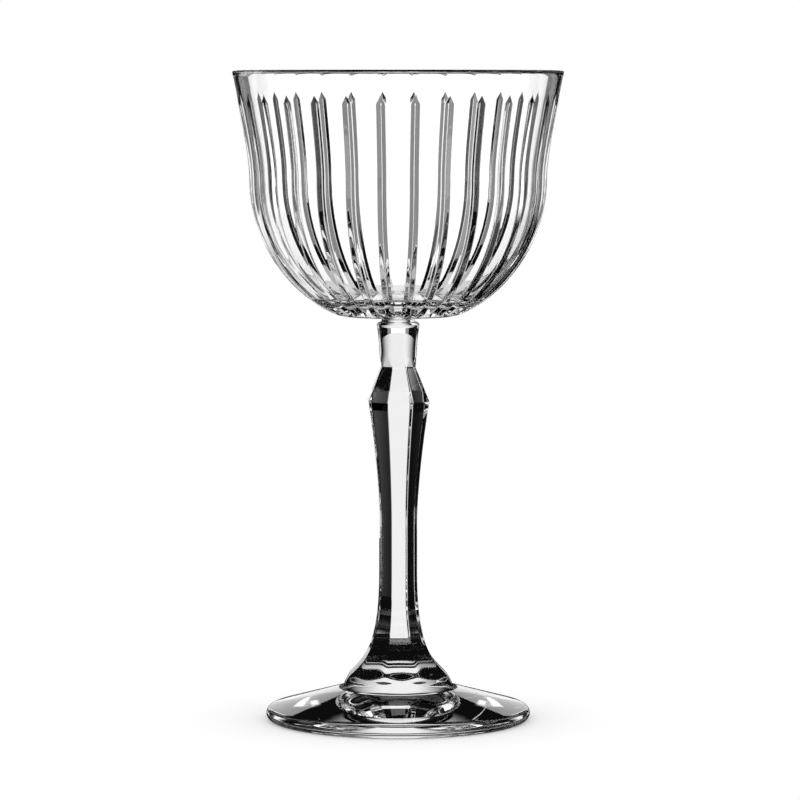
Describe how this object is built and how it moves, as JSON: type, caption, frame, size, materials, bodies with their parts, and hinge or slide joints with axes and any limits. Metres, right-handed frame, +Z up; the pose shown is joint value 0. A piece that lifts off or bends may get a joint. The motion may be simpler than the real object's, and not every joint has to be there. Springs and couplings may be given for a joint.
{
  "type": "stemmed drinking glass",
  "caption": "Clear stemmed glass with a vertically fluted round bowl, a faceted stem with a knop and a round sloping foot, for holding and serving a short drink.",
  "frame": {"origin": "centre of the plane that the foot rests on", "axes": "+Z up along the stem's axis; -Y is the side that the picture shows"},
  "size_m": [0.08, 0.08, 0.157],
  "materials": {
    "clear_glass": "clear, fire-polished gloss"
  },
  "bodies": {
    "root": {"bowl": "clear_glass", "merese": "clear_glass", "stem": "clear_glass", "foot": "clear_glass"}
  },
  "joints": []
}
